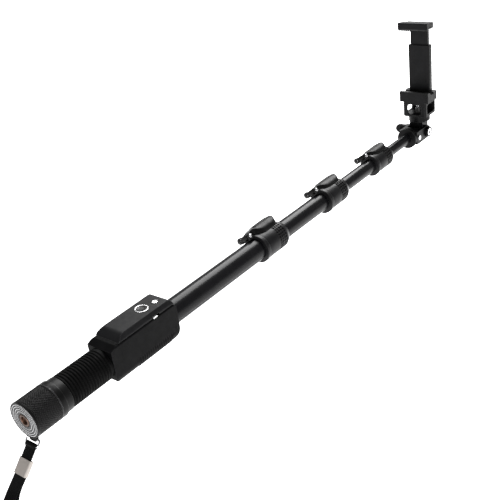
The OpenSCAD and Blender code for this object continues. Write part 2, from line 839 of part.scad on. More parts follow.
module strap_ring() {
  corner_r = 1.8;
  half = ring_half_w - corner_r;
  color(steel) at_ring() {
    for (z = [0, -ring_drop]) rod_y(0, z, -half, half, ring_wire_r);
    for (side = [-1, 1]) translate([0, side * ring_half_w, -ring_drop + corner_r])
      cylinder(r = ring_wire_r, h = ring_drop - 2 * corner_r);
    for (side = [-1, 1], top = [0, 1])
      translate([0, side * half, top ? -corner_r : -ring_drop + corner_r])
        rotate([90, 0, 90]) rotate([0, 0, side > 0 ? (top ? 0 : -90) : (top ? 90 : 180)])
          rotate_extrude(angle = 90) translate([corner_r, 0]) circle(r = ring_wire_r, $fn = 24);
  }
}

module strap_clasp() {
  outer = [3.8, 12];
  inner = [2.85, 11.2];
  color(steel) translate([clasp_mid[0], strap_y, clasp_mid[1]]) rotate([0, strap_lean, 0])
    translate([0, 0, -clasp_l / 2]) difference() {
      linear_extrude(clasp_l) round_rect(outer[0], outer[1], 1);
      translate([0, 0, -1]) linear_extrude(clasp_l + 2) square(inner, center = true);
    }
}

// Direction of the route at point k, and the flat eight-sided section that is swept along it
function route_dir(p, k) =
  let (a = p[max(k - 1, 0)], b = p[min(k + 1, len(p) - 1)]) (b - a) / norm(b - a);
function strap_ring_points(p, k) =
  let (d = route_dir(p, k), n = [-d[1], d[0]], w = strap_w / 2, t = strap_t / 2, c = 0.4)
  [for (q = [[w - c, t], [w, t - c], [w, c - t], [w - c, -t], [c - w, -t], [-w, c - t], [-w, t - c],
             [c - w, t]])
    [p[k][0] + n[0] * q[1], strap_y + q[0], p[k][1] + n[1] * q[1]]];

module strap_webbing() {
  count = len(strap_route);
  sides = 8;
  points = [for (k = [0:count - 1]) each strap_ring_points(strap_route, k)];
  walls = [for (k = [0:count - 2], s = [0:sides - 1])
    [k * sides + s, (k + 1) * sides + s, (k + 1) * sides + (s + 1) % sides, k * sides + (s + 1) % sides]];
  ends = [[for (s = [0:sides - 1]) s], [for (s = [sides - 1:-1:0]) (count - 1) * sides + s]];
  color(soft_black) polyhedron(points, concat(walls, ends));
}

// ---- output ----

base_cap();
base_disc();
tripod_bushing();
trim_ring();
tube_plug();
grip_sleeve();
remote_housing();
remote_tray();
circuit_board();
coin_cell();
remote_cover();
shutter_ring();
housing_screws();
shutter_button();
pair_button();
power_switch();
outer_tube();
second_tube();
third_tube();
inner_tube();
second_tube_bush();
third_tube_bush();
inner_tube_bush();
lock_1_collar();
lock_2_collar();
lock_3_collar();
lock_1_lever();
lock_2_lever();
lock_3_lever();
lock_1_pin();
lock_2_pin();
lock_3_pin();
lock_1_brake();
lock_2_brake();
lock_3_brake();
head_socket();
socket_screw();
tilt_bolt();
wing_knob();
tilt_block();
platform_pad();
mount_screw();
lock_nut();
clamp_base();
lower_pad();
back_channel();
clamp_screws();
jaw_springs();
upper_jaw();
upper_pad();
jaw_tongue();
strap_ring();
strap_clasp();
strap_webbing();
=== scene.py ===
"""Looks of the telescopic selfie stick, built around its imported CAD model.

Shapes are written in millimetres, and MM turns them into Blender's metres.
Places and radii come from the boxes of the CAD nodes.
"""
import json
import math

import bmesh
import bpy
from mathutils import Matrix, Vector

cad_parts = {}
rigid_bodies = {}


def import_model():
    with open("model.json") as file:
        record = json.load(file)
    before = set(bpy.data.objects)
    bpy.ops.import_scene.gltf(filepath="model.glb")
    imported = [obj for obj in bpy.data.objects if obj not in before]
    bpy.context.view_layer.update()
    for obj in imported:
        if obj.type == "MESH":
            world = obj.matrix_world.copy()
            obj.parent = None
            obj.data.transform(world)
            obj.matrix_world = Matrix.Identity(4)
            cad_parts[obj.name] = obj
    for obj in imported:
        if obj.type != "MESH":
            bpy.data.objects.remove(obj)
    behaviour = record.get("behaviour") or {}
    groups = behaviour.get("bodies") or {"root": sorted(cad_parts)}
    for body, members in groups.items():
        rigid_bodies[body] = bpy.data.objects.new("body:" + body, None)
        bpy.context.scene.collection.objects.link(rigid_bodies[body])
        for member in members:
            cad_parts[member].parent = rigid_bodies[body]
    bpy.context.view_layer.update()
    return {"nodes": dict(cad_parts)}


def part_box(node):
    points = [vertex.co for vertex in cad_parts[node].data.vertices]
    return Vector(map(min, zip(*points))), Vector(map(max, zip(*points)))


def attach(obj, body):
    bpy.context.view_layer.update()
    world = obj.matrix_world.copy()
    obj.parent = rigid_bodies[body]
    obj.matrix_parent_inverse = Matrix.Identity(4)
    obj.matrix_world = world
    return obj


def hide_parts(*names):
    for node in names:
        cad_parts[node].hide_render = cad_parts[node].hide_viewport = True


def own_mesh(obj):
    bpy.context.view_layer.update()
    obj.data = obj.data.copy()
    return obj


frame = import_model()
nodes = frame["nodes"]
MM = 0.001


# ---- camera ----

CAMERA_AT = Vector((-0.22548, -0.41715, 0.34016))
CAMERA_AHEAD = Vector((0.66914, 0.5808, -0.4636))
CAMERA_RIGHT = Vector((0.60122, -0.78977, -0.12166))
CAMERA_LENS = 57.6
CAMERA_SENSOR = 36.0


def add_camera():
    ahead = CAMERA_AHEAD.normalized()
    right = (CAMERA_RIGHT - ahead * CAMERA_RIGHT.dot(ahead)).normalized()
    up = right.cross(ahead)
    data = bpy.data.cameras.new("camera")
    data.lens = CAMERA_LENS
    data.sensor_width = CAMERA_SENSOR
    camera = bpy.data.objects.new("camera", data)
    turn = Matrix((right, up, -ahead)).transposed()
    camera.matrix_world = Matrix.Translation(CAMERA_AT) @ turn.to_4x4()
    bpy.context.collection.objects.link(camera)
    bpy.context.scene.camera = camera


add_camera()


# ---- materials ----

NOISE_LOW, NOISE_HIGH = 0.3, 0.7  # nearly all of a noise texture's values lie between these
EDGE_REACH = 0.0005  # width of a worn edge, in metres
EDGE_NONE, EDGE_FULL = 0.98, 0.85  # cosines of the turn where an edge starts and is full


def link(tree, source, target):
    tree.links.new(source, target)


def noise_node(tree, place, scale, detail, stretch=(1, 1, 1)):
    """Noise in the piece's own coordinates, so that it stays on the piece as it moves."""
    mapping = tree.nodes.new("ShaderNodeMapping")
    mapping.inputs["Scale"].default_value = stretch
    link(tree, place.outputs["Object"], mapping.inputs["Vector"])
    noise = tree.nodes.new("ShaderNodeTexNoise")
    noise.inputs["Scale"].default_value = scale
    noise.inputs["Detail"].default_value = detail
    link(tree, mapping.outputs["Vector"], noise.inputs["Vector"])
    return noise


def ramp_node(tree, factor, low, high):
    ramp = tree.nodes.new("ShaderNodeValToRGB")
    ramp.color_ramp.elements[0].position = NOISE_LOW
    ramp.color_ramp.elements[1].position = NOISE_HIGH
    ramp.color_ramp.elements[0].color = (*low, 1)
    ramp.color_ramp.elements[1].color = (*high, 1)
    link(tree, factor, ramp.inputs["Fac"])
    return ramp


def bump_node(tree, height, strength, distance, below=None):
    bump = tree.nodes.new("ShaderNodeBump")
    bump.inputs["Strength"].default_value = strength
    bump.inputs["Distance"].default_value = distance
    link(tree, height, bump.inputs["Height"])
    if below:
        link(tree, below.outputs["Normal"], bump.inputs["Normal"])
    return bump


def edge_mask(tree):
    """1 along sharp edges and 0 on flats, from how far a rounded normal turns from the true one."""
    geometry = tree.nodes.new("ShaderNodeNewGeometry")
    soft = tree.nodes.new("ShaderNodeBevel")
    soft.samples = 4
    soft.inputs["Radius"].default_value = EDGE_REACH
    agree = tree.nodes.new("ShaderNodeVectorMath")
    agree.operation = "DOT_PRODUCT"
    link(tree, geometry.outputs["Normal"], agree.inputs[0])
    link(tree, soft.outputs["Normal"], agree.inputs[1])
    mask = tree.nodes.new("ShaderNodeMapRange")
    mask.inputs["From Min"].default_value = EDGE_NONE
    mask.inputs["From Max"].default_value = EDGE_FULL
    link(tree, agree.outputs["Value"], mask.inputs["Value"])
    return mask


def surface(name, low, high, rough, grain=2500, grain_depth=0.00003, cloud=90,
            stretch=(1, 1, 1), metallic=0.0, specular=0.3, edge=None, sheen=0.0):
    """A finish with colour from low to high, roughness that varies, fine grain and worn edges.

    cloud and grain are the noise scales of the colour and of the grain, grain_depth is in metres,
    and edge is the colour of the worn edges.
    """
    material = bpy.data.materials.new(name)
    material.use_nodes = True
    tree = material.node_tree
    shader = tree.nodes["Principled BSDF"]
    shader.inputs["Metallic"].default_value = metallic
    shader.inputs["Specular IOR Level"].default_value = specular
    shader.inputs["Sheen Weight"].default_value = sheen
    place = tree.nodes.new("ShaderNodeTexCoord")
    clouds = noise_node(tree, place, cloud, 4.0)
    colour = ramp_node(tree, clouds.outputs["Fac"], low, high)
    colour_out = colour.outputs["Color"]
    if edge:
        mix = tree.nodes.new("ShaderNodeMix")
        mix.data_type = "RGBA"
        link(tree, edge_mask(tree).outputs["Result"], mix.inputs["Factor"])
        link(tree, colour_out, mix.inputs["A"])
        mix.inputs["B"].default_value = (*edge, 1)
        colour_out = mix.outputs["Result"]
    link(tree, colour_out, shader.inputs["Base Color"])
    smears = noise_node(tree, place, cloud * 2.3, 5.0, stretch)
    gloss = tree.nodes.new("ShaderNodeMapRange")
    gloss.inputs["From Min"].default_value = NOISE_LOW
    gloss.inputs["From Max"].default_value = NOISE_HIGH
    gloss.inputs["To Min"].default_value = rough[0]
    gloss.inputs["To Max"].default_value = rough[1]
    link(tree, smears.outputs["Fac"], gloss.inputs["Value"])
    link(tree, gloss.outputs["Result"], shader.inputs["Roughness"])
    grains = noise_node(tree, place, grain, 2.0, stretch)
    bump = bump_node(tree, grains.outputs["Fac"], 0.6, grain_depth)
    link(tree, bump.outputs["Normal"], shader.inputs["Normal"])
    return material


def webbing_material():
    """Woven polyester: fine diagonal twill over the ribs of the mesh."""
    material = surface("webbing", (0.003, 0.003, 0.003), (0.008, 0.008, 0.008), (0.8, 0.95),
                       grain=4500, grain_depth=0.00008, specular=0.08, sheen=0.02)
    tree = material.node_tree
    place = tree.nodes.new("ShaderNodeTexCoord")
    turn = tree.nodes.new("ShaderNodeMapping")
    turn.inputs["Rotation"].default_value = (0.6, 0.5, 0.8)
    link(tree, place.outputs["Object"], turn.inputs["Vector"])
    wave = tree.nodes.new("ShaderNodeTexWave")
    wave.inputs["Scale"].default_value = 420
    wave.inputs["Distortion"].default_value = 1.5
    link(tree, turn.outputs["Vector"], wave.inputs["Vector"])
    grain = next(n for n in tree.nodes if n.type == "BUMP")
    twill = bump_node(tree, wave.outputs["Fac"], 0.7, 0.00012, grain)
    link(tree, twill.outputs["Normal"], tree.nodes["Principled BSDF"].inputs["Normal"])
    return material


def board_material():
    """Green solder mask with rows of paler tracks."""
    material = surface("board", (0.005, 0.06, 0.02), (0.01, 0.1, 0.03), (0.3, 0.45), specular=0.5)
    tree = material.node_tree
    place = tree.nodes.new("ShaderNodeTexCoord")
    brick = tree.nodes.new("ShaderNodeTexBrick")
    brick.inputs["Scale"].default_value = 320
    brick.inputs["Color1"].default_value = (0.01, 0.1, 0.03, 1)
    brick.inputs["Color2"].default_value = (0.02, 0.16, 0.05, 1)
    brick.inputs["Mortar"].default_value = (0.005, 0.05, 0.02, 1)
    link(tree, place.outputs["Object"], brick.inputs["Vector"])
    link(tree, brick.outputs["Color"], tree.nodes["Principled BSDF"].inputs["Base Color"])
    return material


BRUSHED = (0.06, 1, 1)  # stretches the noise along a tube
MATERIALS = {
    "black_plastic": surface("black_plastic", (0.002, 0.002, 0.0022), (0.004, 0.004, 0.0044),
                             (0.45, 0.58), grain=3200, grain_depth=0.00005, specular=0.07,
                             edge=(0.02, 0.02, 0.021)),
    "knurled_cap": surface("knurled_cap", (0.002, 0.002, 0.002), (0.004, 0.004, 0.0042),
                           (0.34, 0.46), specular=0.16, edge=(0.03, 0.03, 0.03)),
    "grip_rubber": surface("grip_rubber", (0.002, 0.002, 0.002), (0.005, 0.005, 0.005), (0.62, 0.8),
                           grain=3800, grain_depth=0.00006, specular=0.06, sheen=0.01),
    "anodised_tube": surface("anodised_tube", (0.005, 0.005, 0.006), (0.009, 0.009, 0.01),
                             (0.22, 0.29), grain=5000, grain_depth=0.00001, stretch=BRUSHED,
                             specular=0.15),
    "lock_plastic": surface("lock_plastic", (0.004, 0.004, 0.0045), (0.008, 0.008, 0.009),
                            (0.34, 0.46), specular=0.24, edge=(0.04, 0.04, 0.04)),
    "lever_plastic": surface("lever_plastic", (0.002, 0.002, 0.002), (0.005, 0.005, 0.005),
                             (0.36, 0.48), specular=0.16, edge=(0.04, 0.04, 0.04)),
    "bright_metal": surface("bright_metal", (0.72, 0.72, 0.73), (0.88, 0.88, 0.89), (0.16, 0.3),
                            metallic=1.0, grain=4000, grain_depth=0.00001),
    "black_metal": surface("black_metal", (0.008, 0.008, 0.008), (0.015, 0.015, 0.015), (0.3, 0.42),
                           specular=0.4, edge=(0.1, 0.1, 0.1)),
    "disc_metal": surface("disc_metal", (0.02, 0.02, 0.021), (0.045, 0.045, 0.047), (0.3, 0.42),
                          metallic=0.6, specular=0.2, grain=5000, grain_depth=0.00002,
                          edge=(0.2, 0.2, 0.205)),
    "brass": surface("brass", (0.06, 0.032, 0.022), (0.11, 0.06, 0.042), (0.3, 0.45), metallic=1.0),
    "soft_pad": surface("soft_pad", (0.006, 0.006, 0.006), (0.011, 0.011, 0.011), (0.7, 0.85),
                        grain=3500, grain_depth=0.00008, specular=0.12),
    "cover_plastic": surface("cover_plastic", (0.007, 0.007, 0.008), (0.012, 0.012, 0.013),
                             (0.42, 0.55), grain=3000, specular=0.14, edge=(0.07, 0.07, 0.072)),
    "button_plastic": surface("button_plastic", (0.009, 0.009, 0.01), (0.015, 0.015, 0.016),
                              (0.35, 0.5), specular=0.3, edge=(0.06, 0.06, 0.06)),
    "button_metal": surface("button_metal", (0.72, 0.72, 0.73), (0.88, 0.88, 0.89), (0.22, 0.35),
                            metallic=1.0, grain=4500, grain_depth=0.00001),
    "board": board_material(),
    "nylon": surface("nylon", (0.012, 0.012, 0.012), (0.02, 0.02, 0.02), (0.45, 0.6),
                     specular=0.35),
    "spring_steel": surface("spring_steel", (0.4, 0.4, 0.41), (0.56, 0.56, 0.57), (0.25, 0.4),
                            metallic=1.0),
    "head_plastic": surface("head_plastic", (0.002, 0.002, 0.0022), (0.005, 0.005, 0.0055),
                            (0.34, 0.46), specular=0.12, edge=(0.05, 0.05, 0.05)),
    "clamp_plastic": surface("clamp_plastic", (0.003, 0.003, 0.0034), (0.007, 0.007, 0.0077),
                             (0.36, 0.48), specular=0.14, edge=(0.05, 0.05, 0.05)),
    "webbing": webbing_material(),
    "clasp_metal": surface("clasp_metal", (0.46, 0.42, 0.39), (0.6, 0.55, 0.51), (0.35, 0.5),
                           metallic=0.5, grain=3500, grain_depth=0.00003, stretch=(1, 0.1, 1)),
}


# ---- making pieces ----

SHARP_EDGE = math.radians(35)  # edges that turn more than this are rounded
CORNER_STEPS = 3


def span(node):
    """Lowest and highest corner of a CAD node, in millimetres."""
    low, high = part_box(node)
    return low / MM, high / MM


def body_of(node):
    return nodes[node].parent.name.removeprefix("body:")


def piece(name, verts, faces, body, look, place=Matrix(), stands_for=(), bevel=0.0, sharp=35):
    """A mesh from points in millimetres, cleaned, shaded, painted and set on its body.

    stands_for holds the CAD nodes that it replaces, and sharp is the angle of a hard edge.
    """
    mesh = bpy.data.meshes.new(name)
    mesh.from_pydata([place @ Vector(v) * MM for v in verts], [], faces)
    tidy = bmesh.new()
    tidy.from_mesh(mesh)
    bmesh.ops.remove_doubles(tidy, verts=tidy.verts, dist=1e-6)
    bmesh.ops.dissolve_degenerate(tidy, dist=1e-6, edges=tidy.edges)
    bmesh.ops.recalc_face_normals(tidy, faces=tidy.faces)
    tidy.to_mesh(mesh)
    tidy.free()
    mesh.polygons.foreach_set("use_smooth", [True] * len(mesh.polygons))
    mesh.set_sharp_from_angle(angle=math.radians(sharp))
    mesh.materials.append(MATERIALS[look])
    obj = bpy.data.objects.new(name, mesh)
    bpy.context.collection.objects.link(obj)
    if bevel:
        add_bevel(obj, bevel)
    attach(obj, body)
    if stands_for:
        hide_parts(*stands_for)
    return obj


def add_bevel(obj, width):
    modifier = obj.modifiers.new("bevel", "BEVEL")
    modifier.width = width * MM
    modifier.segments = 2
    modifier.limit_method = "ANGLE"
    modifier.angle_limit = SHARP_EDGE
    shade = obj.modifiers.new("even shading", "WEIGHTED_NORMAL")
    shade.keep_sharp = True


def rounded(points, size, closed=False):
    """The outline with each corner replaced by a curve that starts size away from it."""
    points = [Vector(p) for p in points]
    result = []
    for k, corner in enumerate(points):
        if not closed and k in (0, len(points) - 1):
            result.append(corner)
            continue
        before, after = points[k - 1] - corner, points[(k + 1) % len(points)] - corner
        start = corner + before * min(0.5, size / before.length)
        end = corner + after * min(0.5, size / after.length)
        for s in range(CORNER_STEPS + 1):
            t = s / CORNER_STEPS
            result.append(start * (1 - t) ** 2 + corner * 2 * t * (1 - t) + end * t ** 2)
    return result


def arc(centre, radius, start, end, steps):
    """Points on an arc, with angles in degrees."""
    angles = [math.radians(start + (end - start) * k / steps) for k in range(steps + 1)]
    return [(centre[0] + radius * math.cos(a), centre[1] + radius * math.sin(a)) for a in angles]


def band_faces(rows, columns, close_rows=False, close_columns=True):
    """Four-sided faces over a grid of points that is stored row by row."""
    row_count = rows if close_rows else rows - 1
    column_count = columns if close_columns else columns - 1
    faces = []
    for i in range(row_count):
        for k in range(column_count):
            here, there = i * columns, (i + 1) % rows * columns
            after = (k + 1) % columns
            faces.append((here + k, here + after, there + after, there + k))
    return faces


def turned(name, profile, body, look, place=Matrix(), steps=64, relief=None, closed=False,
           **more):
    """A turned piece around local X, from a profile of (distance along the axis, radius).

    relief adds to the radius at (distance, radius, angle), with the angle from +Z towards -Y.
    """
    verts = []
    for along, radius in profile:
        for k in range(steps):
            angle = 2 * math.pi * k / steps
            r = radius + (relief(along, radius, angle) if relief else 0)
            verts.append((along, -r * math.sin(angle), r * math.cos(angle)))
    faces = band_faces(len(profile), steps, close_rows=closed)
    if not closed:
        if profile[0][1] > 0:
            faces.append(tuple(range(steps)))
        if profile[-1][1] > 0:
            faces.append(tuple(range((len(profile) - 1) * steps, len(profile) * steps)))
    return piece(name, verts, faces, body, look, place, **more)


def loft(name, sections, body, look, place=Matrix(), **more):
    """A solid through sections that all have the same number of points."""
    count = len(sections[0])
    verts = [p for section in sections for p in section]
    faces = band_faces(len(sections), count)
    faces += [tuple(range(count)), tuple(range(len(verts) - count, len(verts)))]
    return piece(name, verts, faces, body, look, place, **more)


def plate(name, outline, low, high, axis, body, look, place=Matrix(), **more):
    """A flat outline drawn out along x, y or z; its points hold the other two, in that order."""
    spots = {"x": lambda p, d: (d, p[0], p[1]), "y": lambda p, d: (p[0], d, p[1]),
             "z": lambda p, d: (p[0], p[1], d)}
    sections = [[spots[axis](p, d) for p in outline] for d in (low, high)]
    return loft(name, sections, body, look, place, **more)


def cad_shell(node, look, bevel=0.3, join=True):
    """A copy of a CAD node with its edges rounded and, with join, its flat faces joined."""
    shape = bmesh.new()
    shape.from_mesh(nodes[node].data)
    bmesh.ops.remove_doubles(shape, verts=shape.verts, dist=2e-6)
    if join:
        bmesh.ops.dissolve_limit(shape, angle_limit=math.radians(0.8), verts=shape.verts,
                                 edges=shape.edges)
    shape.verts.index_update()
    verts = [v.co / MM for v in shape.verts]
    faces = [[v.index for v in f.verts] for f in shape.faces]
    shape.free()
    return piece(node + "_shell", verts, faces, body_of(node), look, stands_for=[node],
                 bevel=bevel)


def dress(node, look):
    """Gives a CAD node that stays as it is its finish."""
    nodes[node].data.materials.clear()
    nodes[node].data.materials.append(MATERIALS[look])


def along_y(x, z):
    """Local X becomes +Y through the point (x, z)."""
    return Matrix.Translation((x, 0, z)) @ Matrix.Rotation(math.radians(90), 4, "Z")


def along_z(x, y):
    """Local X becomes +Z through the point (x, y)."""
    return Matrix.Translation((x, y, 0)) @ Matrix.Rotation(math.radians(-90), 4, "Y")


def smooth_path(points, per_gap):
    """Catmull-Rom curve through the points, with per_gap steps between two of them."""
    points = [Vector(p) for p in points]
    ends = [points[0] * 2 - points[1]] + points + [points[-1] * 2 - points[-2]]
    path = []
    for k in range(len(points) - 1):
        a, b, c, d = ends[k:k + 4]
        for s in range(per_gap):
            t = s / per_gap
            path.append(0.5 * (2 * b + (c - a) * t + (2 * a - 5 * b + 4 * c - d) * t ** 2
                               + (3 * b - a - 3 * c + d) * t ** 3))
    return path + [points[-1]]


# ---- wrist strap ----

STRAP_Y = -1.6
STRAP_W = 11
STRAP_T = 1.2
WEAVE_PITCH = 1.3
WEAVE_RISE = 0.08
RING_BAR = (-0.94, -19.94)  # X and Z of the ring's lower bar
LEAN = 45  # of the strap where it leaves the ring, in degrees
STRAP_ROUTE = [
    (-1.4, -20.4), (-5, -24.3), (-8.2, -27.4), (-12.9, -32), (-17.6, -36.7), (-22.5, -41.2),
    (-27.5, -45.9), (-32.5, -51.4), (-36.6, -58.5), (-39.2, -67), (-40, -76.5), (-39.2, -87),
    (-37.2, -98), (-34.8, -109), (-32.8, -120), (-31.2, -130), (-28.5, -138.5), (-23.5, -145),
    (-16.5, -148.5), (-9, -148), (-2.6, -143.8), (1, -137), (2, -128.5), (0.8, -119), (-2.6, -109),
    (-7.4, -99), (-12.6, -89.5), (-17.8, -80), (-22.2, -71), (-25.4, -62.5), (-26.6, -54.5),
    (-24.6, -47), (-20.6, -41.6), (-16.5, -37.8), (-11.8, -33.1), (-8.3, -29.6)
]


def webbing_section(at, direction, travelled):
    """Flat section with ribs across the webbing and scalloped selvedges."""
    normal = Vector((-direction.z, 0, direction.x))
    rib = math.sin(travelled * 2 * math.pi / WEAVE_PITCH)
    half_w = STRAP_W / 2 - 0.2 + 2 * WEAVE_RISE * rib
    half_t = STRAP_T / 2 - 0.1 + WEAVE_RISE * rib
    outline = []
    for side in (1, -1):
        for k in range(-8, 9):
            across = side * k / 8
            edge = 1 - 0.55 * max(0, abs(across) - 0.8) / 0.2
            warp = 1 + 0.1 * math.cos(across * 9 * math.pi)
            outline.append(Vector((0, across * half_w, 0)) + normal * side * half_t * edge * warp)
    return [at + p for p in outline]


def add_webbing():
    path = smooth_path([(x, STRAP_Y, z) for x, z in STRAP_ROUTE], 20)
    sections = []
    travelled = 0
    for k, at in enumerate(path):
        ahead, behind = path[min(k + 1, len(path) - 1)], path[max(k - 1, 0)]
        if k:
            travelled += (at - path[k - 1]).length
        sections.append(webbing_section(at, (ahead - behind).normalized(), travelled))
    webbing = loft("strap_webbing_woven", sections, "strap", "webbing",
                   stands_for=["strap_webbing"], sharp=80)
    return webbing, path, travelled


def add_fold():
    """The webbing's turn around the ring's lower bar."""
    outer, inner, half = 2.0, 0.9, STRAP_W / 2 - 0.5
    start, end = -LEAN - 75, -LEAN + 255
    outline = arc(RING_BAR, outer, start, end, 24) + arc(RING_BAR, inner, end, start, 24)
    return plate("strap_fold", outline, STRAP_Y - half, STRAP_Y + half, "y", "strap", "webbing",
                 bevel=0.2)


def add_strap():
    webbing, path, length = add_webbing()
    clasp = cad_shell("strap_clasp", "clasp_metal", 0.15)
    fold = add_fold()
    dress("strap_ring", "bright_metal")


add_strap()


# ---- handle ----

def add_cap():
    """End cap with a diamond knurl, its trim ring and the lug for the wrist strap."""
    cap_end = span("base_cap")[1].x
    trim_low, trim_high = span("trim_ring")
    r = trim_high.y
    body_end, band_r = 28, span("grip_sleeve")[1].y + 0.3
    knurl_end = trim_low.x - 0.6
    pitch, depth, row = 1.9, 0.5, 0.29
    recess_r = span("base_disc")[1].y + 0.1
    socket_r = 5.6

    def knurl(along, radius, angle):
        if radius < r - 0.01 or not 2.2 < along < knurl_end:
            return 0
        turn = radius * angle
        count = round(2 * math.pi * r / pitch) / (2 * math.pi * r)
        a = math.sin(math.pi * (turn * count + along / pitch))
        b = math.sin(math.pi * (turn * count - along / pitch))
        return -depth * (1 - abs(a) * abs(b))

    rows = int((knurl_end - 2) / row)
    wall = [(2 + (knurl_end - 2) * k / rows, r) for k in range(rows + 1)]
    groove = [(trim_low.x - 0.1, r), (trim_low.x, r - 0.7), (trim_high.x, r - 0.7),
              (trim_high.x + 0.1, r)]
    front = rounded([(1.2, recess_r), (0, recess_r), (0, r), (2, r)], 0.7)
    tube_start, tube_end = span("outer_tube")
    rear = rounded([(body_end - 3, r), (body_end, r), (body_end, band_r), (cap_end, band_r),
                    (cap_end, tube_end.y)], 0.6)
    bore = [(tube_start.x, tube_end.y), (tube_start.x, socket_r)]
    profile = [(1.2, socket_r)] + front + wall + groove + rear + bore
    turned("base_cap_knurled", profile, "handle", "knurled_cap", steps=290, relief=knurl,
           closed=True, stands_for=["base_cap"])
    ring = rounded([(trim_low.x, r - 0.7), (trim_low.x, r), (trim_high.x, r),
                    (trim_high.x, r - 0.7)], 0.2, closed=True)
    turned("trim_ring_turned", ring, "handle", "disc_metal", steps=96, closed=True,
           stands_for=["trim_ring"])
    x, z, lug_r, lug_h, half = 2.6, -16.4, 2.2, 3.4, 2.5
    lug = arc((x, z), lug_r, 0, -180, 16) + [(x - lug_r, z + lug_h), (x + lug_r, z + lug_h)]
    plate("strap_lug", lug, STRAP_Y - half, STRAP_Y + half, "y", "handle", "knurled_cap", bevel=0.4)


def add_disc():
    """End disc with three deep grooves and polished edges around the tripod bushing."""
    r_out, r_in = span("base_disc")[1].y, 5.5
    face, floor, back = 0.2, 0.8, 1.1
    profile = [(back, r_out), (0.35, r_out), (face, r_out - 0.15)]
    polished = [r_out - 0.5]
    for inner, outer in ((11.6, 12.2), (9.7, 10.3), (7.8, 8.4)):
        profile += [(face, outer), (floor, outer - 0.05), (floor, inner + 0.05), (face, inner)]
        polished.append(inner - 0.3)
    profile += [(face, r_in + 0.1), (0.35, r_in), (back, r_in)]
    turned("base_disc_turned", profile, "handle", "disc_metal", steps=128, closed=True,
           stands_for=["base_disc"])
    for k, r in enumerate(polished):
        edge = [(0.3, r + 0.16), (0.12, r + 0.12), (0.12, r - 0.12), (0.3, r - 0.16)]
        turned(f"base_disc_edge_{k + 1}", edge, "handle", "bright_metal", steps=128, closed=True)


THREAD_PITCH = 1.27  # twenty turns to the inch, as on a tripod screw
THREAD_ROW = 0.2


def thread(depth):
    """Relief of a helical thread of that depth."""
    def relief(along, radius, angle):
        turn = (along / THREAD_PITCH + angle / (2 * math.pi)) % 1
        return depth * (2 * abs(turn - 0.5) - 0.5)
    return relief


def add_bushing():
    """Threaded bushing of the tripod socket, with a blind bore."""
    bore, depth, start = 3.2, 10, 0.5
    wave = thread(0.5)

    def bore_thread(along, radius, angle):
        return wave(along, radius, angle) if radius < bore + 0.01 and along > start else 0

    rows = int(depth / THREAD_ROW)
    profile = [(12, 5.4), (1.2, 5.4), (1.2, 5), (0.3, 5), (0, 4.7), (0, bore + 0.4), (0.4, bore)]
    profile += [(start + (depth - start) * k / rows, bore) for k in range(rows + 1)]
    profile += [(depth, 0)]
    turned("tripod_bushing_threaded", profile, "handle", "brass", steps=64, relief=bore_thread,
           stands_for=["tripod_bushing"])


def add_grip():
    """Rubber sleeve with ribs up to the housing, which hides its plain front end."""
    low, high = span("grip_sleeve")
    housing_x = span("remote_housing")[0].x
    r, root, bore, pitch = high.y, high.y - 0.7, 10.6, 2.6
    rib = pitch * 0.62
    count = int((housing_x + 4 - low.x) / pitch) - 2
    outline = [(low.x, bore), (low.x, root)]
    for k in range(count):
        x = low.x + 0.4 + k * pitch
        outline += [(x, root), (x + 0.15, r), (x + rib - 0.15, r), (x + rib, root)]
    outline += [(housing_x - 0.2, root), (housing_x - 0.2, root - 0.6), (high.x, root - 0.6),
                (high.x, bore)]
    turned("grip_sleeve_ribbed", rounded(outline, 0.4, closed=True), "handle", "grip_rubber",
           steps=96, closed=True, stands_for=["grip_sleeve"])


def rib_section(x, low, high, height):
    """Curved strip around the lower half of the housing that stands height proud of it."""
    nose, corner, wall_top, axis_z, sink = 12, 8, low.z + 10.5, low.z + 14, 0.6
    lift = max(0, x - high.x + nose)
    bottom = low.z + nose - math.sqrt(nose ** 2 - min(lift, nose) ** 2)
    inset = min(corner, (wall_top - bottom) * 0.9)
    half = high.y
    path = [(half, wall_top)] + arc((half - inset, bottom + inset), inset, 0, -90, 10)
    path += [(-y, z) for y, z in reversed(path)]
    outer, inner = [], []
    for y, z in path:
        outward = Vector((y, z - axis_z)).normalized()
        rise = height * min(1, (wall_top - z) / 1.5)
        outer.append((x, y + outward.x * rise, z + outward.y * rise))
        inner.append((x, y - outward.x * sink, z - outward.y * sink))
    return outer + inner[::-1]


def add_housing():
    """Remote housing with finger ribs around its lower half."""
    cad_shell("remote_housing", "black_plastic", 0.5)
    low, high = span("remote_housing")
    start, pitch, rise = low.x + 26, 2.4, 0.4
    for k in range(int((high.x - 4 - start) / pitch)):
        foot = start + k * pitch
        slope = ((0, 0), (0.25, rise), (0.85, rise), (1.1, 0))
        sections = [rib_section(foot + step, low, high, height) for step, height in slope]
        loft(f"remote_housing_rib_{k + 1}", sections, "handle", "black_plastic", sharp=60)


